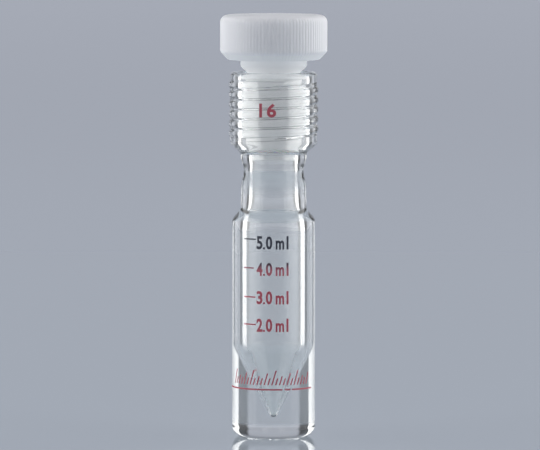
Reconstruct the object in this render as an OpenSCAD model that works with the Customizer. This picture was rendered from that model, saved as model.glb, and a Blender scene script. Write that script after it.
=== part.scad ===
// Glass sample vial: a heavy-walled graduated tube with a conical well in its
// solid base and a round screw thread moulded into its mouth, closed by a
// knurled screw plug that presses a ring seal onto a ledge in the glass.
// Millimetres. The vial stands on z = 0 with its axis on Z.

/* [Vial body] */
// Outside diameter of the body
body_d = 20.5; // [19:0.1:24]
// Glass thickness of the body wall
body_wall = 3.45; // [2.5:0.05:4]
// Height of the straight body, from the foot to the start of the shoulder
body_h = 53.3; // [40:0.1:90]
// Height of the shoulder between body and neck
shoulder_h = 3.6; // [2.5:0.1:6]
// How far above the shoulder the bore starts to widen
widen_above = 3.3; // [0:0.1:5]
// How far below the shoulder the bore reaches its full width
widen_below = 2.3; // [0.5:0.1:5]
// Rounding of the foot's outer corner
foot_r = 2.6; // [1:0.1:3.5]

/* [Conical well] */
// Solid glass under the tip of the well
base_t = 5.05; // [3:0.05:10]
// Half angle of the cone
well_half_angle = 20; // [15:0.5:30]
// Radius of the rounded tip
well_tip_r = 0.75; // [0.5:0.05:1.5]
// Blend radius where the cone meets the body wall
well_blend_r = 6; // [2:0.5:12]

/* [Neck] */
// Outside diameter of the neck tube above the shoulder
neck_d = 16.2; // [15:0.1:18]
// Outside diameter of the neck at its drawn waist
waist_d = 14.8; // [14:0.1:16.2]
// Inside diameter of the neck
neck_bore_d = 10.7; // [9.8:0.1:11.5]
// Outside diameter of the neck where the collar flares out
throat_d = 16.3; // [15.6:0.1:17]
// Length of neck tube that stays straight above the shoulder
neck_straight_h = 4.4; // [1:0.1:6]
// Distance of the waist below the seat
waist_drop = 4.5; // [2:0.1:6]
// Length of the neck tube, from the shoulder to the seal seat
neck_h = 13.6; // [11:0.1:25]

/* [Threaded mouth] */
// Outside diameter of the mouth collar in the valleys of its ridges
collar_d = 21.4; // [19.4:0.1:24]
// Height of the outer ridges that follow the thread
ridge_h = 0.32; // [0.1:0.02:0.6]
// Length of the screw thread
thread_h = 15.6; // [8:0.1:20]
// Pitch of the right-hand thread
pitch = 2.4; // [2:0.1:3]
// Diameter at the bottom of the thread groove in the glass
thread_d = 16.4; // [16:0.1:17.4]
// Depth of the thread
thread_depth = 1.1; // [0.8:0.05:1.3]
// Smooth bore between the seat and the first turn
seat_gap_h = 2.4; // [2.2:0.1:5]
// Rise of the ledge that the ring presses on, from the bore outwards
seat_h = 0.3; // [0.1:0.1:1]
// Smooth mouth above the last turn, with the lip
lip_h = 1.4; // [1.2:0.1:5]
// Rounding of the lip's outer edge
lip_r = 1.0; // [0.4:0.05:1.1]
// Rounding of the lip's inner edge
lip_in_r = 0.6; // [0.3:0.05:0.8]
// Height of the flare from the neck out to the collar
flare_h = 3.3; // [2.5:0.1:4.5]

/* [Plug] */
// Diameter of the head over the ribs
head_d = 26.4; // [22:0.1:34]
// Height of the head
head_h = 11; // [6:0.1:16]
// Gap between the underside of the head and the lip
head_gap = 3; // [1.5:0.1:6]
// Number of ribs round the head
rib_count = 96; // [48:1:120]
// Depth of the grooves between the ribs
rib_depth = 0.22; // [0.1:0.01:0.4]
// Rounding of the head's top edge
head_top_r = 1.8; // [0.5:0.1:2.5]
// Height of the chamfer under the head
head_chamfer = 2; // [0.5:0.1:2.5]
// Width of the chamfer under the head
head_chamfer_w = 1.9; // [0.5:0.1:2.5]
// Diameter of the shank where it joins the head
shank_d = 16.4; // [15:0.1:18]
// Length of shank that stays straight under the head
shank_h = 1.2; // [0.5:0.1:2]
// Diameter of the relief above the thread
relief_d = 12.5; // [11:0.1:13]
// Length of the smooth land that guides the plug above its thread
pilot_h = 0.4; // [0.3:0.1:1]
// Play between the two threads, across and along the axis
thread_play = 0.12; // [0.1:0.01:0.2]

/* [Seal] */
// Thickness of the seal ring
seal_t = 1.8; // [1.4:0.05:1.9]
// Gap between the seal ring and what touches it
seal_gap = 0.05; // [0.03:0.01:0.1]
// Depth of the groove that holds the ring on the nose
seal_groove = 0.15; // [0.1:0.05:0.4]
// Length of the nose below the ring
nose_h = 1.8; // [0.5:0.1:3]
// Gap between the nose and the bore of the neck
nose_gap = 0.2; // [0.1:0.05:0.4]

/* [Hidden] */
$fn = 120;

GLASS = [0.78, 0.86, 0.86, 0.45];
PLUG_WHITE = [0.93, 0.94, 0.94];
SEAL_WHITE = [0.86, 0.87, 0.87];

turn_steps = 36;         // straight steps in one turn of a thread
curve_steps = 10;        // straight steps in a blended curve
fade_turns = 0.3;        // length over which a thread rises from its wall
bury = 0.3;              // how far a ridge reaches into the wall behind it
round_from = 0.75;       // share of a ridge's height where its crest starts to round
round_w = 0.45;          // share of that width which the crest keeps
sink_gap = 0.1;          // how far under its wall a ridge's crest starts and ends
spread_share = 0.175;    // how far a ridge's flank spreads below half its height, in pitches
ridge_share = 0.3;       // half width of an outer ridge at half its height, in pitches
run_share = 0.4;         // how far a thread's middle line stays inside its length, in pitches
plug_extra = 0.16;       // how much wider the plug's ridge is than an even share, each side
collar_gap = 0.2;        // straight wall below the lowest outer ridge
pilot_drop = 0.4;        // how far below the thread's top the pilot land starts
pilot_gap = 0.2;         // height of the cone under the pilot land
relief_gap = 0.3;        // height of the cone over the pilot land
groove_angle = 53;       // where the plug's thread starts, about the axis
over = 1;                // how far a cutter passes the face it opens
edge = 0.3;              // small chamfers on the plug
rib_skin = 0.05;         // how far the head's outline clears the crests of its ribs

body_r = body_d / 2;
bore_r = body_r - body_wall;
neck_r = neck_d / 2;
waist_r = waist_d / 2;
throat_r = throat_d / 2;
neck_bore_r = neck_bore_d / 2;
collar_r = collar_d / 2;

// Heights of the vial, from the foot up
neck_z = body_h + shoulder_h;
seat_z = neck_z + neck_h;
seat_top_z = seat_z + seat_h;
thread_z = seat_top_z + seat_gap_h;
thread_top_z = thread_z + thread_h;
lip_z = thread_top_z + lip_h;
waist_z = seat_z - waist_drop;
flare_top_z = thread_z - collar_gap;
flare_z = flare_top_z - flare_h;

// Radii of the two threads
groove_r = thread_d / 2;
crest_r = groove_r - thread_depth;
plug_crest_r = groove_r - thread_play;
plug_core_r = crest_r - thread_play;

// Half widths of the two threads' ridges at half their height. Side by side they fill half a
// pitch, less the play
plug_flank_w = pitch / 4 - thread_play / 2 + plug_extra;
glass_flank_w = pitch / 4 - thread_play / 2 - plug_extra;
ridge_flank_w = pitch * ridge_share;
flank_spread = pitch * spread_share;

// How far the middle of a ridge starts above the bottom of the thread, and ends below its top
run_in = pitch * run_share;

// The well: a cone that is tangent to its rounded tip
tip_centre_z = base_t + well_tip_r;
apex_z = tip_centre_z - well_tip_r / sin(well_half_angle);
well_top_z = apex_z + bore_r / tan(well_half_angle);
well_blend_z = well_top_z + well_blend_r * tan(well_half_angle / 2);

// The ring sits in a groove of the nose, which dips into the neck, and rests on the ledge
nose_r = neck_bore_r - nose_gap;
groove_in_r = nose_r - seal_groove;
seat_angle = atan((groove_r - neck_bore_r) / seat_h);
seal_r = seal_t / 2;
seal_centre_r = groove_in_r + seal_gap + seal_r;
seal_z = seat_z
    + (seal_centre_r - neck_bore_r) / tan(seat_angle)
    + (seal_r + seal_gap) / sin(seat_angle);

// Heights of the plug
nose_top_z = seal_z - seal_r - seal_gap;
nose_z = nose_top_z - nose_h;
shoulder_z = seal_z + seal_r + seal_gap;
pilot_z = thread_top_z - pilot_drop;
pilot_top_z = pilot_z + pilot_gap + pilot_h;
relief_z = pilot_top_z + relief_gap;
head_z = lip_z + head_gap;
head_top_z = head_z + head_h;
head_r = head_d / 2;
relief_r = relief_d / 2;
shank_r = shank_d / 2;

// Points of an arc about a centre
function arc(centre, r, from, to) =
    [for (i = [0:curve_steps])
        let (a = from + (to - from) * i / curve_steps)
        [centre[0] + r * cos(a), centre[1] + r * sin(a)]];

// Points of a smooth S between two [radius, height] points
function blend(p, q) =
    [for (i = [0:curve_steps])
        let (t = i / curve_steps)
        [p[0] + (q[0] - p[0]) * (1 - cos(180 * t)) / 2, p[1] + (q[1] - p[1]) * t]];

// Half of a ridge's section, from its base inside a wall at root_r to its crest at tip_r,
// as [radius, half width] points
function ridge_half(root_r, tip_r, flank_w) =
    let (
        out = sign(tip_r - root_r),
        depth = abs(tip_r - root_r),
        lean = flank_spread / (depth / 2 + bury),
        edge_w = flank_w - lean * depth * (round_from - 0.5)
    )
    [[root_r - out * bury, flank_w + flank_spread],
     [root_r + out * depth * round_from, edge_w],
     [tip_r, edge_w * round_w]];

// The whole section, in the order that turns its faces outwards
function ridge_section(root_r, tip_r, flank_w) =
    let (half = ridge_half(root_r, tip_r, flank_w), out = sign(tip_r - root_r), n = len(half))
    concat(
        [for (i = [0:n - 1]) [half[i][0], -out * half[i][1]]],
        [for (i = [n - 1:-1:0]) [half[i][0], out * half[i][1]]]
    );

// How far a ridge is still sunk in its wall, t turns from its start
function sunk(t, turns) = max(0, 1 - t / fade_turns, 1 - (turns - t) / fade_turns);

// A ridge wound along a right-hand helix over the length of the thread. It rises out of the wall
// at one end and sinks back into it at the other
module helix_ridge(root_r, tip_r, flank_w) {
    section = ridge_section(root_r, tip_r, flank_w);
    sides = len(section);
    sink = tip_r - root_r + sign(tip_r - root_r) * sink_gap;
    turns = (thread_h - 2 * run_in) / pitch;
    rings = ceil(turns * turn_steps);
    points = [for (i = [0:rings], p = section)
        let (t = i * turns / rings, r = p[0] - sink * sunk(t, turns))
        [r * cos(360 * t), r * sin(360 * t), p[1] + pitch * t]];
    walls = [for (i = [0:rings - 1], j = [0:sides - 1])
        let (a = i * sides + j, b = i * sides + (j + 1) % sides)
        each [[a, b, b + sides], [a, b + sides, a + sides]]];
    first = [for (j = [sides - 1:-1:0]) j];
    last = [for (j = [0:sides - 1]) rings * sides + j];
    translate([0, 0, thread_z + run_in])
    polyhedron(points = points, faces = concat([first], walls, [last]));
}

module vial_outside() {
    rotate_extrude()
    polygon(concat(
        [[0, 0]],
        arc([body_r - foot_r, foot_r], foot_r, -90, 0),
        blend([body_r, body_h], [neck_r, neck_z]),
        blend([neck_r, neck_z + neck_straight_h], [waist_r, waist_z]),
        blend([waist_r, waist_z], [throat_r, flare_z]),
        blend([throat_r, flare_z], [collar_r, flare_top_z]),
        arc([collar_r - lip_r, lip_z - lip_r], lip_r, 0, 90),
        [[0, lip_z]]
    ));
}

module vial_cavity() {
    rotate_extrude()
    polygon(concat(
        [[0, base_t]],
        arc([0, tip_centre_z], well_tip_r, -80, -well_half_angle),
        arc([bore_r - well_blend_r, well_blend_z], well_blend_r, -well_half_angle, 0),
        blend([bore_r, body_h - widen_below], [neck_bore_r, neck_z + widen_above]),
        [[neck_bore_r, seat_z],
         [groove_r, seat_top_z]],
        arc([groove_r + lip_in_r, lip_z - lip_in_r], lip_in_r, 180, 90),
        [[groove_r + lip_in_r, lip_z + over],
         [0, lip_z + over]]
    ));
}

module vial() {
    color(GLASS) {
        difference() {
            union() {
                vial_outside();
                rotate(groove_angle)
                helix_ridge(collar_r, collar_r + ridge_h, ridge_flank_w);
            }
            vial_cavity();
        }
        rotate(groove_angle + 180)
        helix_ridge(groove_r, crest_r, glass_flank_w);
    }
}

module plug_shank() {
    rotate_extrude()
    polygon(concat(
        [[0, nose_z],
         [nose_r - edge, nose_z],
         [nose_r, nose_z + edge],
         [nose_r, nose_top_z],
         [groove_in_r, nose_top_z],
         [groove_in_r, shoulder_z],
         [plug_core_r - edge, shoulder_z],
         [plug_core_r, shoulder_z + edge],
         [plug_core_r, pilot_z],
         [plug_crest_r, pilot_z + pilot_gap],
         [plug_crest_r, pilot_top_z]],
        blend([relief_r, relief_z], [shank_r, head_z - shank_h]),
        [[shank_r, head_z + over],
         [0, head_z + over]]
    ));
}

module plug_head() {
    intersection() {
        translate([0, 0, head_z])
        linear_extrude(head_h)
        polygon([for (i = [0:2 * rib_count - 1])
            let (r = head_r - (i % 2) * rib_depth, a = i * 180 / rib_count)
            [r * cos(a), r * sin(a)]]);
        rotate_extrude()
        polygon(concat(
            [[0, head_z],
             [head_r - head_chamfer_w, head_z],
             [head_r + rib_skin, head_z + head_chamfer + rib_skin]],
            arc([head_r - head_top_r, head_top_z - head_top_r], head_top_r + rib_skin, 0, 90),
            [[0, head_top_z + rib_skin]]
        ));
    }
}

module plug() {
    color(PLUG_WHITE) {
        plug_head();
        plug_shank();
        rotate(groove_angle)
        helix_ridge(plug_core_r, plug_crest_r, plug_flank_w);
    }
}

module seal_ring() {
    color(SEAL_WHITE)
    translate([0, 0, seal_z])
    rotate_extrude()
    translate([seal_centre_r, 0])
    circle(r = seal_r);
}

vial();
plug();
seal_ring();
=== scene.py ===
"""Looks of the glass sample vial: smooth glass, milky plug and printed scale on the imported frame.

Sizes are in millimetres and follow the names in the part's source. MM turns them into metres.
"""
import math

import bmesh
import bpy
import numpy as np
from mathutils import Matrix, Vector


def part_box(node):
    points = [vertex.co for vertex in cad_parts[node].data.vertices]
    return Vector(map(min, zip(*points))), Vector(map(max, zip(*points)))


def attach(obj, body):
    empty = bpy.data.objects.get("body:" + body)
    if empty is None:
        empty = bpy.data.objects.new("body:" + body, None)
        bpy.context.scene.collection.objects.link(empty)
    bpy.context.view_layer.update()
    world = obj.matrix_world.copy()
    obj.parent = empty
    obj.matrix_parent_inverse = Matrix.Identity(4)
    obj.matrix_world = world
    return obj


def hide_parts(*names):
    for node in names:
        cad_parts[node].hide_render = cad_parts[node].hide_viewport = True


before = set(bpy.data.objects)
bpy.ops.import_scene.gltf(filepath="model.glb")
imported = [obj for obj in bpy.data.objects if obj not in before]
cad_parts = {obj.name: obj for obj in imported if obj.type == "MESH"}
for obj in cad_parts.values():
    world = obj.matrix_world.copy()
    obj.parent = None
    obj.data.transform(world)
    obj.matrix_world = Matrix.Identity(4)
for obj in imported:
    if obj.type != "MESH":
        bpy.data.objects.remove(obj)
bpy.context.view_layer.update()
MM = 0.001

# ---- Driving sizes, in millimetres -------------------------------------------------------------

VIAL_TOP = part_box("vial")[1].z / MM
HEAD_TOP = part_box("plug")[1].z / MM
HEAD_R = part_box("plug")[1].x / MM

BODY_R = 10.25
BORE_R = 6.8
BODY_H = 53.3
SHOULDER_H = 3.6
FOOT_R = 2.6
BASE_T = 5.05
WELL_ANGLE = math.radians(20)
WELL_TIP_R = 0.75
WELL_BLEND_R = 6.0

NECK_R = 8.1
WAIST_R = 7.4
THROAT_R = 8.15
NECK_BORE_R = 5.35
NECK_STRAIGHT_H = 4.4
WAIST_DROP = 4.5
NECK_H = 13.6

COLLAR_R = 10.7
RIDGE_H = 0.32
RIDGE_FLAT = 0.35
RIDGE_FOOT = 1.1
THREAD_H = 15.6
PITCH = 2.4
GROOVE_R = 8.2
THREAD_DEPTH = 1.1
SEAT_GAP_H = 2.4
SEAT_H = 0.3
LIP_R = 1.0
LIP_IN_R = 0.6
FLARE_H = 3.3
FLARE_DROP = 0.2
THREAD_RUN = 0.96
PLUG_FLAT = 0.5
PLUG_FOOT = 0.9
GLASS_FLAT = 0.3
GLASS_FOOT = 0.5
THREAD_START = math.radians(53)
FADE_TURNS = 0.3
SINK = 0.1

THREAD_PLAY = 0.12
HEAD_H = 11.0
HEAD_CHAMFER = 2.0
HEAD_CHAMFER_W = 1.9
HEAD_TOP_R = 1.8
RIB_COUNT = 96
RIB_DEPTH = 0.22
SHANK_R = 8.2
SHANK_H = 1.2
RELIEF_R = 6.25
PILOT_DROP = 0.4
PILOT_GAP = 0.2
PILOT_H = 0.4
RELIEF_GAP = 0.3
SEAL_R = 0.9
SEAL_GAP = 0.05
SEAL_GROOVE = 0.15
NOSE_H = 1.8
NOSE_GAP = 0.2
BORE_BLEND_LOW = 2.3
BORE_BLEND_HIGH = 3.3

NECK_Z = BODY_H + SHOULDER_H
SEAT_Z = NECK_Z + NECK_H
SEAT_TOP_Z = SEAT_Z + SEAT_H
THREAD_Z = SEAT_TOP_Z + SEAT_GAP_H
THREAD_TOP_Z = THREAD_Z + THREAD_H
CREST_R = GROOVE_R - THREAD_DEPTH
PLUG_CREST_R = GROOVE_R - THREAD_PLAY
PLUG_CORE_R = CREST_R - THREAD_PLAY
HEAD_Z = HEAD_TOP - HEAD_H

PILOT_Z = THREAD_TOP_Z - PILOT_DROP
PILOT_TOP_Z = PILOT_Z + PILOT_GAP + PILOT_H
RELIEF_Z = PILOT_TOP_Z + RELIEF_GAP

SEAT_ANGLE = math.atan((GROOVE_R - NECK_BORE_R) / SEAT_H)
NOSE_R = NECK_BORE_R - NOSE_GAP
NOSE_GROOVE_R = NOSE_R - SEAL_GROOVE
SEAL_MID_R = NOSE_GROOVE_R + SEAL_GAP + SEAL_R
SEAL_Z = (SEAT_Z + (SEAL_MID_R - NECK_BORE_R) / math.tan(SEAT_ANGLE)
          + (SEAL_R + SEAL_GAP) / math.sin(SEAT_ANGLE))


# ---- Outlines: lists of (radius, height) points ------------------------------------------------

def arc(centre, radius, start, end, steps):
    """Points of an arc about a centre, from one angle to another in degrees."""
    angles = np.radians(np.linspace(start, end, steps + 1))
    return [(centre[0] + radius * math.cos(a), centre[1] + radius * math.sin(a)) for a in angles]


def blend(p, q, steps):
    """A smooth S between two points."""
    ts = np.linspace(0, 1, steps + 1)
    return [(p[0] + (q[0] - p[0]) * (1 - math.cos(math.pi * t)) / 2, p[1] + (q[1] - p[1]) * t) for t in ts]


def line(p, q, steps):
    """Evenly spaced points from one point to another, without the last."""
    return [(p[0] + (q[0] - p[0]) * i / steps, p[1] + (q[1] - p[1]) * i / steps) for i in range(steps)]


def fillet(points, steps=5):
    """A polyline whose corners are rounded: points are (radius, height, corner radius)."""
    out = []
    for i, (r, z, corner) in enumerate(points):
        if corner == 0 or i in (0, len(points) - 1):
            out.append((r, z))
            continue
        here = np.array((r, z))
        back = np.array(points[i - 1][:2]) - here
        ahead = np.array(points[i + 1][:2]) - here
        back, ahead = back / np.linalg.norm(back), ahead / np.linalg.norm(ahead)
        half = math.acos(float(np.clip(back @ ahead, -1, 1))) / 2
        reach = corner / math.tan(half)
        for t in np.linspace(0, 1, steps + 1):
            a = here + back * reach * (1 - t) ** 2 + ahead * reach * t ** 2
            out.append((float(a[0]), float(a[1])))
    return out


# ---- Meshes ------------------------------------------------------------------------------------

def ridge_height(angle, z, depth, start, flat, foot):
    """Height of a right-hand helical ridge over its wall, at points on that wall.

    The ridge is full within flat of its middle line and gone beyond foot. At both ends of the thread it
    fades until it lies SINK under the wall.
    """
    first = THREAD_Z + THREAD_RUN
    turns = (THREAD_H - 2 * THREAD_RUN) / PITCH
    phase = (z - first) / PITCH - (angle - start) / (2 * math.pi)
    off = (phase - np.round(phase)) * PITCH
    along = (z - off - first) / PITCH
    shape = 0.5 + 0.5 * np.cos(np.pi * np.clip((np.abs(off) - flat) / (foot - flat), 0, 1))
    sunk = np.maximum(0, np.maximum(1 - along / FADE_TURNS, 1 - (turns - along) / FADE_TURNS))
    return np.maximum(0, depth * shape - (depth + SINK) * sunk)


def lathe(name, outline, columns, relief=None):
    """A closed surface of revolution; relief(angles, row, r, z) moves its points in or out."""
    angles = np.linspace(0, 2 * math.pi, columns, endpoint=False)
    verts, rows = [], []
    for i, (r, z) in enumerate(outline):
        if r < 1e-6:
            rows.append([len(verts)])
            verts.append((0, 0, z * MM))
            continue
        radii = np.full(columns, float(r))
        if relief:
            radii = radii + relief(angles, i, r, z)
        rows.append(list(range(len(verts), len(verts) + columns)))
        verts += [(rr * math.cos(a) * MM, rr * math.sin(a) * MM, z * MM) for rr, a in zip(radii, angles)]
    faces = []
    for low, high in zip(rows, rows[1:]):
        for j in range(columns):
            k = (j + 1) % columns
            if len(low) == 1:
                faces.append((low[0], high[k], high[j]))
            elif len(high) == 1:
                faces.append((low[j], low[k], high[0]))
            else:
                faces.append((low[j], low[k], high[k], high[j]))
    return add_mesh(name, verts, faces)


def add_mesh(name, verts, faces, smooth=True):
    """A new object in the scene, with its faces turned outward."""
    mesh = bpy.data.meshes.new(name)
    mesh.from_pydata(verts, [], faces)
    mesh.validate()
    bm = bmesh.new()
    bm.from_mesh(mesh)
    bmesh.ops.recalc_face_normals(bm, faces=bm.faces)
    bm.to_mesh(mesh)
    bm.free()
    if smooth:
        mesh.shade_smooth()
    piece = bpy.data.objects.new(name, mesh)
    bpy.context.scene.collection.objects.link(piece)
    return piece


# ---- Materials ---------------------------------------------------------------------------------

# The share of the lamps' light that passes straight through the glass
LAMP_SHARE = 0.8

# The plug's white below and in its head. A faint glow stands in for light that comes down inside the
# plug, and fades out over the chamfer and GLOW_FADE above it
SHANK_WHITE = (0.97, 0.97, 0.96)
HEAD_WHITE = (0.92, 0.91, 0.935)
SHANK_GLOW = 0.115
GLOW_COLOUR = (0.9, 0.94, 1.0)
GLOW_FADE = 1

# Painted shade on the thread, standing in for the shadow in its narrow gaps with the glass: on its flanks,
# where it grows as the normal tilts from the first to the second share of the way to the axis, and in a
# line along the ridge. The line's place above the ridge's middle and its half widths, full and faded out,
# are shares of the pitch
SHADE_COLOUR = (0.06, 0.06, 0.07)
FLANK_SHADE = 0.7
FLANK_TILT = (0.25, 0.6)
CREST_SHADE = 0.55
CREST_LINE = 0.14
CREST_LINE_W = (0.03, 0.08)

# The painted shade sets in over this height below the thread. It and the wet look, which covers all that
# is lower, fade out between these drops below the pilot
SHADE_RISE = 0.3
PILOT_FADE = (0.4, 0.1)

INK_ROUGHNESS = 0.45
INK_RED = (0.52, 0.09, 0.125)
INK_BLACK = (0.05, 0.055, 0.075)
# The fading ink, from worn to fresh, and the heights between which it changes
INK_WORN = (0.55, 0.14, 0.18)
INK_FRESH = (0.09, 0.06, 0.08)
INK_FADE = (41.8, 43.4)


def new_material(name):
    """A material with its node tree and its shader."""
    mat = bpy.data.materials.new(name)
    mat.use_nodes = True
    tree = mat.node_tree
    shader = tree.nodes["Principled BSDF"]
    return mat, tree, shader


def add_noise_bump(tree, shader, scale, strength, distance, stretch=(1, 1, 1)):
    """Faint unevenness of a surface; distance is in metres."""
    coords = tree.nodes.new("ShaderNodeTexCoord")
    mapping = tree.nodes.new("ShaderNodeMapping")
    mapping.inputs["Scale"].default_value = stretch
    noise = tree.nodes.new("ShaderNodeTexNoise")
    noise.inputs["Scale"].default_value = scale
    noise.inputs["Detail"].default_value = 3
    bump = tree.nodes.new("ShaderNodeBump")
    bump.inputs["Strength"].default_value = strength
    bump.inputs["Distance"].default_value = distance
    tree.links.new(coords.outputs["Object"], mapping.inputs["Vector"])
    tree.links.new(mapping.outputs["Vector"], noise.inputs["Vector"])
    tree.links.new(noise.outputs["Fac"], bump.inputs["Height"])
    tree.links.new(bump.outputs["Normal"], shader.inputs["Normal"])


def split_axes(tree, kind):
    """The X, Y and Z sockets of a texture coordinate of this kind."""
    coords = tree.nodes.new("ShaderNodeTexCoord")
    split = tree.nodes.new("ShaderNodeSeparateXYZ")
    tree.links.new(coords.outputs[kind], split.inputs["Vector"])
    return split.outputs


def smooth_range(tree, socket, low, high, start, end):
    """A smooth step of a number, from start at low to end at high."""
    node = tree.nodes.new("ShaderNodeMapRange")
    node.interpolation_type = "SMOOTHSTEP"
    node.inputs["From Min"].default_value = low
    node.inputs["From Max"].default_value = high
    node.inputs["To Min"].default_value = start
    node.inputs["To Max"].default_value = end
    tree.links.new(socket, node.inputs["Value"])
    return node.outputs["Result"]


def calculate(tree, operation, *values):
    """A math node; its values are sockets or plain numbers."""
    node = tree.nodes.new("ShaderNodeMath")
    node.operation = operation
    for i, value in enumerate(values):
        if isinstance(value, (int, float)):
            node.inputs[i].default_value = value
        else:
            tree.links.new(value, node.inputs[i])
    return node.outputs["Value"]


def mix_colours(tree, factor, low, high):
    """A colour between two; the low one may be a socket."""
    node = tree.nodes.new("ShaderNodeMix")
    node.data_type = "RGBA"
    if isinstance(low, tuple):
        node.inputs["A"].default_value = (*low, 1)
    else:
        tree.links.new(low, node.inputs["A"])
    node.inputs["B"].default_value = (*high, 1)
    tree.links.new(factor, node.inputs["Factor"])
    return node.outputs["Result"]


def let_lamps_through(tree, shader):
    """Lets part of the lamps' light straight through, so that what stands inside the glass is lit."""
    path = tree.nodes.new("ShaderNodeLightPath")
    share = calculate(tree, "MULTIPLY", path.outputs["Is Shadow Ray"], LAMP_SHARE)
    clear = tree.nodes.new("ShaderNodeBsdfTransparent")
    both = tree.nodes.new("ShaderNodeMixShader")
    tree.links.new(share, both.inputs["Fac"])
    tree.links.new(shader.outputs["BSDF"], both.inputs[1])
    tree.links.new(clear.outputs["BSDF"], both.inputs[2])
    tree.links.new(both.outputs["Shader"], tree.nodes["Material Output"].inputs["Surface"])


def glass_material():
    """Clear glass with a slight haze and a faint drawn waviness."""
    mat, tree, shader = new_material("borosilicate_glass")
    shader.inputs["Base Color"].default_value = (0.985, 0.995, 0.99, 1)
    shader.inputs["Roughness"].default_value = 0.0
    shader.inputs["IOR"].default_value = 1.473
    shader.inputs["Transmission Weight"].default_value = 0.96
    add_noise_bump(tree, shader, scale=120, strength=0.06, distance=0.0004, stretch=(1, 1, 0.25))
    let_lamps_through(tree, shader)
    return mat


def thread_shade(tree, place):
    """How far the painted shade covers the thread, from its flanks' tilt and from the line along its
    ridge.
    """
    tilt = calculate(tree, "ABSOLUTE", split_axes(tree, "Normal")["Z"])
    steep = smooth_range(tree, tilt, *FLANK_TILT, 0.0, FLANK_SHADE)
    angle = calculate(tree, "ARCTAN2", place["Y"], place["X"])
    # The phase comes out as a half on the line along the ridge
    start = THREAD_START / (2 * math.pi) - CREST_LINE + 0.5
    turns = calculate(tree, "MULTIPLY_ADD", angle, -0.5 / math.pi, start)
    rise = calculate(tree, "MULTIPLY_ADD", place["Z"], 1 / (PITCH * MM), -(THREAD_Z + THREAD_RUN) / PITCH)
    phase = calculate(tree, "FRACT", calculate(tree, "ADD", turns, rise))
    off = calculate(tree, "ABSOLUTE", calculate(tree, "SUBTRACT", phase, 0.5))
    edge = smooth_range(tree, off, *CREST_LINE_W, CREST_SHADE, 0.0)
    return calculate(tree, "MAXIMUM", steep, edge)


def plug_material():
    """Milky white, darker in the head, and with painted shade and a wet look on the thread inside the
    collar.
    """
    mat, tree, shader = new_material("milky_fluoropolymer")
    place = split_axes(tree, "Object")
    height = place["Z"]
    shaded = thread_shade(tree, place)
    fade_low, fade_high = ((PILOT_Z - drop) * MM for drop in PILOT_FADE)
    below = smooth_range(tree, height, fade_low, fade_high, 1.0, 0.0)
    above = smooth_range(tree, height, (THREAD_Z - SHADE_RISE) * MM, THREAD_Z * MM, 0.0, 1.0)
    dim = calculate(tree, "MULTIPLY", shaded, calculate(tree, "MULTIPLY", below, above))
    wet = calculate(tree, "MULTIPLY", below, calculate(tree, "SUBTRACT", 1.0, dim))
    chamfer_top = HEAD_Z + HEAD_CHAMFER
    head = smooth_range(tree, height, HEAD_Z * MM, chamfer_top * MM, 0.0, 1.0)
    glow = smooth_range(tree, height, HEAD_Z * MM, (chamfer_top + GLOW_FADE) * MM, SHANK_GLOW, 0.0)
    white = mix_colours(tree, head, SHANK_WHITE, HEAD_WHITE)
    # The thread's flanks and a line along its ridge get painted shade
    tree.links.new(mix_colours(tree, dim, white, SHADE_COLOUR), shader.inputs["Base Color"])
    tree.links.new(wet, shader.inputs["Coat Weight"])
    tree.links.new(glow, shader.inputs["Emission Strength"])
    shader.inputs["Emission Color"].default_value = (*GLOW_COLOUR, 1)
    shader.inputs["Coat Roughness"].default_value = 0.1
    shader.inputs["Coat IOR"].default_value = 2.4
    shader.inputs["Roughness"].default_value = 0.42
    shader.inputs["IOR"].default_value = 1.36
    shader.inputs["Subsurface Weight"].default_value = 0.8
    shader.inputs["Subsurface Radius"].default_value = (1.0, 1.0, 1.0)
    shader.inputs["Subsurface Scale"].default_value = 0.004
    add_noise_bump(tree, shader, scale=900, strength=0.1, distance=0.0001, stretch=(0.3, 0.3, 2))
    return mat


def seal_material():
    """Smooth, slightly translucent white."""
    mat, tree, shader = new_material("seal_white")
    shader.inputs["Base Color"].default_value = (0.82, 0.83, 0.83, 1)
    shader.inputs["Roughness"].default_value = 0.35
    shader.inputs["Subsurface Weight"].default_value = 0.5
    shader.inputs["Subsurface Scale"].default_value = 0.001
    add_noise_bump(tree, shader, scale=1500, strength=0.08, distance=0.00005)
    return mat


def ink_material(name, colour):
    """Fired print of one colour."""
    mat, tree, shader = new_material(name)
    shader.inputs["Base Color"].default_value = (*colour, 1)
    shader.inputs["Roughness"].default_value = INK_ROUGHNESS
    add_noise_bump(tree, shader, scale=4000, strength=0.2, distance=0.00002)
    return mat


def fading_ink():
    """Print that is black at the top of its label and wears to red below."""
    mat, tree, shader = new_material("ink_fading")
    ramp = tree.nodes.new("ShaderNodeMapRange")
    ramp.inputs["From Min"].default_value = INK_FADE[0] * MM
    ramp.inputs["From Max"].default_value = INK_FADE[1] * MM
    tree.links.new(split_axes(tree, "Object")["Z"], ramp.inputs["Value"])
    colour = mix_colours(tree, ramp.outputs["Result"], INK_WORN, INK_FRESH)
    tree.links.new(colour, shader.inputs["Base Color"])
    shader.inputs["Roughness"].default_value = INK_ROUGHNESS
    return mat


# ---- The glass ---------------------------------------------------------------------------------

VIAL_COLUMNS = 160
COLLAR_ROWS = 125
GROOVE_ROWS = 130
THROAT_STRAIGHT_H = 0.3
SEAT_FILLET = 0.12
SEAT_RUN = 2
# A short straight piece where two parts of an outline meet
JOIN = 0.1
# How near a radius counts as being on a threaded wall
NEAR = 0.01


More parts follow.
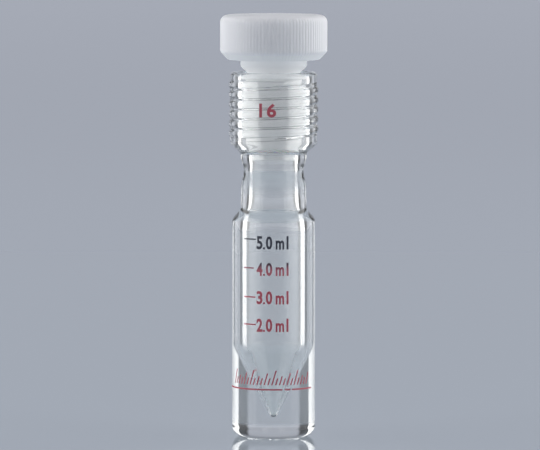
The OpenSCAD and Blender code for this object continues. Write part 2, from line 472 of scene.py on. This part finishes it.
def vial_outline():
    """The whole closed outline, from the foot's centre up the outside and down the inside.

    Returns the points and the row where the inside begins.
    """
    body, neck = (BODY_R, BODY_H), (NECK_R, NECK_Z)
    flare_top = (COLLAR_R, THREAD_Z - FLARE_DROP)
    flare = (THROAT_R, flare_top[1] - FLARE_H)
    waist = (WAIST_R, SEAT_Z - WAIST_DROP)
    outside = (
        line((0, 0), (BODY_R - FOOT_R, 0), 4)
        + arc((BODY_R - FOOT_R, FOOT_R), FOOT_R, -90, 0, 16)
        + line((BODY_R, FOOT_R), body, 12)[1:]
        + blend(body, neck, 20)
        + blend((NECK_R, NECK_Z + NECK_STRAIGHT_H), waist, 14)
        + blend(waist, (THROAT_R, flare[1] - THROAT_STRAIGHT_H), 12)[1:]
        + [flare]
        + blend(flare, flare_top, 28)[1:]
        + line(flare_top, (COLLAR_R, THREAD_TOP_Z + JOIN), COLLAR_ROWS)[1:]
        + arc((COLLAR_R - LIP_R, VIAL_TOP - LIP_R), LIP_R, 0, 90, 12)
    )
    tip = (0, BASE_T + WELL_TIP_R)
    apex = tip[1] - WELL_TIP_R / math.sin(WELL_ANGLE)
    well_top = apex + BORE_R / math.tan(WELL_ANGLE)
    blend_z = well_top + WELL_BLEND_R * math.tan(WELL_ANGLE / 2)
    degrees = math.degrees(WELL_ANGLE)
    run, drop = math.cos(WELL_ANGLE), math.sin(WELL_ANGLE)
    inside = (
        arc((GROOVE_R + LIP_IN_R, VIAL_TOP - LIP_IN_R), LIP_IN_R, 90, 180, 10)
        + line((GROOVE_R, VIAL_TOP - LIP_IN_R), (GROOVE_R, THREAD_Z), GROOVE_ROWS)[1:]
        + fillet([(GROOVE_R, THREAD_Z, 0), (GROOVE_R, SEAT_TOP_Z, SEAT_FILLET),
                  (NECK_BORE_R, SEAT_Z, SEAT_FILLET), (NECK_BORE_R, SEAT_Z - SEAT_RUN, 0)])
        + blend((NECK_BORE_R, NECK_Z + BORE_BLEND_HIGH), (BORE_R, BODY_H - BORE_BLEND_LOW), 30)
        + line((BORE_R, BODY_H - BORE_BLEND_LOW), (BORE_R, blend_z), 8)[1:]
        + arc((BORE_R - WELL_BLEND_R, blend_z), WELL_BLEND_R, 0, -degrees, 12)
        + line((BORE_R - WELL_BLEND_R * (1 - run), blend_z - WELL_BLEND_R * drop),
               (WELL_TIP_R * run, tip[1] - WELL_TIP_R * drop), 12)[1:]
        + arc(tip, WELL_TIP_R, -degrees, -90, 12)[:-1]
        + [(0, BASE_T)]
    )
    return outside + inside, len(outside)


def make_vial():
    """The whole glass, with the thread in its mouth and the ridges that follow it outside."""
    outline, split = vial_outline()

    def relief(angles, row, r, z):
        if row < split and r > COLLAR_R - NEAR:
            return ridge_height(angles, z, RIDGE_H, THREAD_START, RIDGE_FLAT, RIDGE_FOOT)
        if row >= split and abs(r - GROOVE_R) < NEAR and z < VIAL_TOP - LIP_IN_R:
            return -ridge_height(angles, z, THREAD_DEPTH, THREAD_START + math.pi, GLASS_FLAT, GLASS_FOOT)
        return 0

    piece = lathe("vial_glass", outline, VIAL_COLUMNS, relief)
    piece.data.materials.append(glass_material())
    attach(piece, "vial")
    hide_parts("vial")


# ---- The plug ----------------------------------------------------------------------------------

PLUG_ROWS = 114
RIB_COLUMNS = 4
SEAL_COLUMNS = 120
NOSE_FILLET = 0.25
GROOVE_FILLET = 0.05
SHOULDER_FILLET = 0.1
CORE_FILLET = 0.25
PILOT_FILLET = 0.1
RELIEF_FILLET = 0.2
SHANK_FILLET = 0.12
HEAD_FILLET = 0.8
# The head's straight side starts and ends this far from its chamfer and from its rounded top
SIDE_START = 1.2
SIDE_END = 0.6
# The ribs start this far above the head's flat underside
RIB_START = 0.05


def make_plug():
    """The plug from nose to head; its ribs fade out on the chamfer and on the rounded top."""
    shoulder_z = SEAL_Z + SEAL_R + SEAL_GAP
    groove_low_z = SEAL_Z - SEAL_R - SEAL_GAP
    nose_z = groove_low_z - NOSE_H
    shank_low = HEAD_Z - SHANK_H
    side_low = HEAD_Z + HEAD_CHAMFER
    side_top = HEAD_TOP - HEAD_TOP_R
    outline = (
        fillet([(0, nose_z, 0), (NOSE_R, nose_z, NOSE_FILLET), (NOSE_R, groove_low_z, GROOVE_FILLET),
                (NOSE_GROOVE_R, groove_low_z, GROOVE_FILLET), (NOSE_GROOVE_R, shoulder_z, SHOULDER_FILLET),
                (PLUG_CORE_R, shoulder_z, CORE_FILLET), (PLUG_CORE_R, THREAD_Z - JOIN, 0)])
        + line((PLUG_CORE_R, THREAD_Z), (PLUG_CORE_R, PILOT_Z), PLUG_ROWS)
        + fillet([(PLUG_CORE_R, PILOT_Z, 0), (PLUG_CREST_R, PILOT_Z + PILOT_GAP, PILOT_FILLET),
                  (PLUG_CREST_R, PILOT_TOP_Z, RELIEF_FILLET), (RELIEF_R, RELIEF_Z - JOIN, RELIEF_FILLET),
                  (RELIEF_R, RELIEF_Z, 0)])
        + blend((RELIEF_R, RELIEF_Z), (SHANK_R, shank_low), 14)[1:]
        + fillet([(SHANK_R, shank_low + JOIN, 0), (SHANK_R, HEAD_Z, SHANK_FILLET),
                  (HEAD_R - HEAD_CHAMFER_W, HEAD_Z, HEAD_FILLET), (HEAD_R, side_low, HEAD_FILLET),
                  (HEAD_R, side_low + SIDE_START, 0)])
        + line((HEAD_R, side_low + SIDE_START), (HEAD_R, side_top - SIDE_END), 3)[1:]
        + arc((HEAD_R - HEAD_TOP_R, side_top), HEAD_TOP_R, 0, 90, 10)
        + line((HEAD_R - HEAD_TOP_R, HEAD_TOP), (0, HEAD_TOP), 4)[1:]
        + [(0, HEAD_TOP)]
    )

    def relief(angles, _row, r, z):
        if z > HEAD_Z + RIB_START:
            # Full within one rib depth of the head's side, and gone three depths inside it
            deep = RIB_DEPTH * np.clip((r - (HEAD_R - 3 * RIB_DEPTH)) / (2 * RIB_DEPTH), 0, 1)
            return -deep * (0.5 - 0.5 * np.cos(angles * RIB_COUNT))
        if THREAD_Z <= z <= THREAD_TOP_Z and abs(r - PLUG_CORE_R) < NEAR:
            return ridge_height(angles, z, PLUG_CREST_R - PLUG_CORE_R, THREAD_START, PLUG_FLAT, PLUG_FOOT)
        return 0

    piece = lathe("screw_plug", outline, RIB_COUNT * RIB_COLUMNS, relief)
    piece.data.materials.append(plug_material())
    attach(piece, "plug")
    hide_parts("plug")


def make_seal():
    """The round-section ring in the plug's groove."""
    piece = lathe("seal", arc((SEAL_MID_R, SEAL_Z), SEAL_R, -90, 270, 28), SEAL_COLUMNS)
    piece.data.materials.append(seal_material())
    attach(piece, "seal")
    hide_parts("seal_ring")


# ---- The print ---------------------------------------------------------------------------------

INK_GAP = 0.015
INK_T = 0.02
FRONT = -math.pi / 2
# Print is cut into slices of this width, so that it bends smoothly
SLICE_W = 0.4
# Glyphs are drawn this much bolder, as a share of their size
GLYPH_BOLD = 0.03


def wrap(piece, radius):
    """Bends flat print (x along the arc, y its height, in millimetres) round the front of the glass."""
    for v in piece.data.vertices:
        angle = FRONT + v.co.x / radius
        r = radius + INK_GAP + max(0, v.co.z)
        v.co = Vector((r * math.cos(angle) * MM, r * math.sin(angle) * MM, v.co.y * MM))


def slice_columns(bm):
    """Cuts flat print into upright slices."""
    xs = [v.co.x for v in bm.verts]
    for x in np.arange(min(xs) + SLICE_W, max(xs), SLICE_W):
        geom = bm.verts[:] + bm.edges[:] + bm.faces[:]
        bmesh.ops.bisect_plane(bm, geom=geom, plane_co=(x, 0, 0), plane_no=(1, 0, 0))


def flat_text(text, height, width):
    """A flat mesh of the text, width by height, with its lower left corner at the origin."""
    curve = bpy.data.curves.new("print", "FONT")
    curve.body = text
    curve.size = 1
    curve.offset = GLYPH_BOLD
    curve.resolution_u = 3
    curve.extrude = 0.01
    holder = bpy.data.objects.new("print", curve)
    mesh = bpy.data.meshes.new_from_object(holder)
    bpy.data.objects.remove(holder)
    co = np.array([v.co for v in mesh.vertices])
    low, size = co.min(0), co.max(0) - co.min(0)
    for v in mesh.vertices:
        v.co.x = (v.co.x - low[0]) / size[0] * width
        v.co.y = (v.co.y - low[1]) / size[1] * height
        v.co.z = INK_T if v.co.z > 0 else 0
    return mesh


def make_print(name, mesh, left, low, radius, ink):
    """One piece of print, from a flat mesh set left along the arc and low above the foot."""
    bm = bmesh.new()
    bm.from_mesh(mesh)
    bmesh.ops.translate(bm, verts=bm.verts, vec=(left, low, 0))
    slice_columns(bm)
    bm.to_mesh(mesh)
    bm.free()
    piece = bpy.data.objects.new(name, mesh)
    bpy.context.scene.collection.objects.link(piece)
    wrap(piece, radius)
    mesh.materials.append(ink)
    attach(piece, "vial")


def flat_bar(left, right, low, high):
    """A thin flat rectangle of print."""
    mesh = bpy.data.meshes.new("bar")
    xs, ys, zs = (left, right), (low, high), (0, INK_T)
    verts = [(x, y, z) for x in xs for y in ys for z in zs]
    faces = [(0, 1, 3, 2), (4, 6, 7, 5), (0, 4, 5, 1), (2, 3, 7, 6), (0, 2, 6, 4), (1, 5, 7, 3)]
    mesh.from_pydata(verts, [], faces)
    return mesh


# Each label is listed glyph by glyph: its glyphs' left and right edges along the arc, and their share of
# its height. N stands for the mark's number
LABEL = (
    ("N", -4.3, -2.76, 1.0),
    (".", -2.64, -2.12, 0.17),
    ("0", -1.92, -0.34, 1.0),
    ("m", 0.5, 2.6, 0.68),
    ("l", 3.2, 3.72, 1.0),
)
LABEL_H = 3.25
# Each mark: its number, the foot of its label, its tick's height and right end, and the ink
MARKS = (
    ("5", 47.05, 49.5, -4.5, "black"),
    ("4", 40.53, 42.4, -5.1, "fading"),
    ("3", 33.53, 35.25, -4.6, "red"),
    ("2", 26.73, 28.5, -4.5, "red"),
)
TICK_LEFT = -8.0
TICK_W = 0.32

# The ring line runs over the front only, with two small breaks in its print
RING_Z = 12.3
RING_W = 0.36
RING_RUNS = ((-16.0, 2.2), (2.75, 4.3), (4.65, 11.4))
SIZE_NUMBER = (("1", -3.6, -2.9), ("6", -1.7, 0.6))
SIZE_NUMBER_Z = 79.5
SIZE_NUMBER_H = 3.4

# A plain hatch of slanted dashes stands where the photographed vial has its maker's print
HATCH_LEFT = -12.0
HATCH_STEP = 0.95
HATCH_COUNT = 23
HATCH_Z = 13.6
HATCH_HEIGHTS = (3.6, 1.7, 2.2, 1.7, 2.9, 1.7)
HATCH_LEAN = 0.3
HATCH_W = 0.32


def make_label(name, glyphs, low, height, radius, ink):
    """A line of print; each glyph has its left and right edges and its share of the height."""
    for i, (glyph, left, right, share) in enumerate(glyphs):
        mesh = flat_text(glyph, height * share, right - left)
        make_print(name + "_" + str(i), mesh, left, low, radius, ink)


def make_ring_line(ink):
    """A thin line round the front, in its runs."""
    for i, (left, right) in enumerate(RING_RUNS):
        bar = flat_bar(left, right, RING_Z, RING_Z + RING_W)
        make_print("ring_line_" + str(i), bar, 0, 0, BODY_R, ink)


def make_hatch(ink):
    """A row of leaning strokes over the foot."""
    for i in range(HATCH_COUNT):
        height = HATCH_HEIGHTS[i % len(HATCH_HEIGHTS)]
        bar = flat_bar(0, HATCH_W, 0, height)
        for v in bar.vertices:
            v.co.x += HATCH_LEAN * v.co.y
        make_print("hatch_" + str(i), bar, HATCH_LEFT + i * HATCH_STEP, HATCH_Z, BODY_R, ink)


def make_scale():
    """The printed marks with their labels, the size number, the ring line and the hatch."""
    inks = {
        "red": ink_material("ink_red", INK_RED),
        "fading": fading_ink(),
        "black": ink_material("ink_black", INK_BLACK),
    }
    for number, low, tick_z, tick_right, ink in MARKS:
        glyphs = [(glyph.replace("N", number), left, right, share) for glyph, left, right, share in LABEL]
        make_label("label_" + number, glyphs, low, LABEL_H, BODY_R, inks[ink])
        tick = flat_bar(TICK_LEFT, tick_right, tick_z - TICK_W / 2, tick_z + TICK_W / 2)
        make_print("tick_" + number, tick, 0, 0, BODY_R, inks[ink])
    size = [(glyph, left, right, 1.0) for glyph, left, right in SIZE_NUMBER]
    radius = COLLAR_R + RIDGE_H
    make_label("size_number", size, SIZE_NUMBER_Z, SIZE_NUMBER_H, radius, inks["red"])
    make_ring_line(inks["red"])
    make_hatch(inks["red"])


# ---- Stage: lengths in metres, apart from the lens ---------------------------------------------

# The world's colour and, as shares of it, its levels in the dark bands, on the camera's side, over the
# backdrop's foot and overhead
BACKDROP = (0.445, 0.47, 0.537)
GAP_DIM = 0.05
FRONT_DIM = 0.4
BACKDROP_HIGH = 0.84
TOP_LIGHT = 0.5
# Angles aside from straight behind, between which the backdrop turns dark and the dark band ends
GAP_NEAR = (math.radians(24), math.radians(30))
GAP_FAR = (math.radians(44), math.radians(56))
# Sines of the heights in the sky between which the backdrop dims and the overhead level takes over
DIMMING = (math.sin(math.radians(2)), math.sin(math.radians(6)))
OVERHEAD = (math.sin(math.radians(12)), math.sin(math.radians(28)))

FLOOR = (0.505, 0.57, 0.635)
FLOOR_ROUGHNESS = 0.07
FLOOR_HALF = 6

SOFTBOX_X = 0.9
SOFTBOX_FRONT = -0.75
SOFTBOX_BACK = 0.9
SOFTBOX_H = 1.2
SOFTBOX_RADIANCE = 1.7
CARD_RADIANCE = 1.6
CARD_LIFT = 0.001

AIM_X = -0.9 * MM
AIM_Z = 52.3 * MM
CAMERA_DISTANCE = 1.35
CAMERA_TILT = math.radians(4.4)
CAMERA_ROLL = math.radians(0.03)
LENS = 364.5
SENSOR_W = 36


def add_world():
    """A pale backdrop behind, a dark band either side of it, and dimmer on the camera's side."""
    world = bpy.data.worlds.new("studio")
    bpy.context.scene.world = world
    world.use_nodes = True
    tree = world.node_tree
    way = split_axes(tree, "Generated")
    aside = calculate(tree, "ABSOLUTE", calculate(tree, "ARCTAN2", way["X"], way["Y"]))
    near = smooth_range(tree, aside, *GAP_NEAR, 1.0, GAP_DIM)
    far = smooth_range(tree, aside, *GAP_FAR, 0.0, FRONT_DIM - GAP_DIM)
    height = smooth_range(tree, way["Z"], *DIMMING, 1.0, BACKDROP_HIGH)
    level = calculate(tree, "MULTIPLY", calculate(tree, "ADD", near, far), height)
    strength = tree.nodes.new("ShaderNodeMix")
    tree.links.new(smooth_range(tree, way["Z"], *OVERHEAD, 0.0, 1.0), strength.inputs["Factor"])
    tree.links.new(level, strength.inputs["A"])
    strength.inputs["B"].default_value = TOP_LIGHT
    background = tree.nodes["Background"]
    background.inputs["Color"].default_value = (*BACKDROP, 1)
    tree.links.new(strength.outputs["Result"], background.inputs["Strength"])


def add_quad(name, corners):
    """A flat stage piece with four corners."""
    piece = add_mesh(name, corners, [(0, 1, 2, 3)], smooth=False)
    return piece


def add_floor():
    """A plain pale floor, smooth enough to mirror the vial's foot."""
    half = FLOOR_HALF
    floor = add_quad("floor", [(-half, -half, 0), (half, -half, 0), (half, half, 0), (-half, half, 0)])
    mat, _, shader = new_material("floor_satin")
    shader.inputs["Base Color"].default_value = (*FLOOR, 1)
    shader.inputs["Roughness"].default_value = FLOOR_ROUGHNESS
    floor.data.materials.append(mat)


def add_softbox(name, side):
    """A tall soft lamp beside the vial, and the white card that glass and gloss see in its place."""
    lamp = bpy.data.lights.new(name, "AREA")
    lamp.shape = "RECTANGLE"
    lamp.size = SOFTBOX_H
    lamp.size_y = SOFTBOX_BACK - SOFTBOX_FRONT
    lamp.energy = SOFTBOX_RADIANCE * math.pi * lamp.size * lamp.size_y
    box = bpy.data.objects.new(name, lamp)
    bpy.context.scene.collection.objects.link(box)
    box.location = (side * SOFTBOX_X, (SOFTBOX_BACK + SOFTBOX_FRONT) / 2, SOFTBOX_H / 2)
    box.rotation_euler = (0, side * math.pi / 2, 0)
    box.visible_glossy = False
    box.visible_transmission = False
    x = side * SOFTBOX_X
    card = add_quad(name + "_card", [(x, SOFTBOX_FRONT, CARD_LIFT), (x, SOFTBOX_BACK, CARD_LIFT),
                                     (x, SOFTBOX_BACK, SOFTBOX_H), (x, SOFTBOX_FRONT, SOFTBOX_H)])
    card.visible_camera = False
    card.visible_diffuse = False
    card.visible_shadow = False
    mat, _, shader = new_material(name + "_white")
    shader.inputs["Base Color"].default_value = (0, 0, 0, 1)
    shader.inputs["Specular IOR Level"].default_value = 0
    shader.inputs["Emission Color"].default_value = (1, 1, 1, 1)
    shader.inputs["Emission Strength"].default_value = CARD_RADIANCE
    card.data.materials.append(mat)


def add_camera():
    """The camera in front, slightly above, with a long lens."""
    data = bpy.data.cameras.new("camera")
    data.lens = LENS
    data.sensor_width = SENSOR_W
    camera = bpy.data.objects.new("camera", data)
    bpy.context.scene.collection.objects.link(camera)
    back = Vector((0, -math.cos(CAMERA_TILT), math.sin(CAMERA_TILT)))
    camera.location = Vector((AIM_X, 0, AIM_Z)) + back * CAMERA_DISTANCE
    camera.rotation_euler = (math.pi / 2 - CAMERA_TILT, 0, 0)
    camera.rotation_euler.rotate_axis("Z", CAMERA_ROLL)
    bpy.context.scene.camera = camera


make_vial()
make_plug()
make_seal()
make_scale()
add_world()
add_floor()
add_softbox("softbox_left", -1)
add_softbox("softbox_right", 1)
add_camera()
bpy.context.scene.view_settings.view_transform = "Standard"
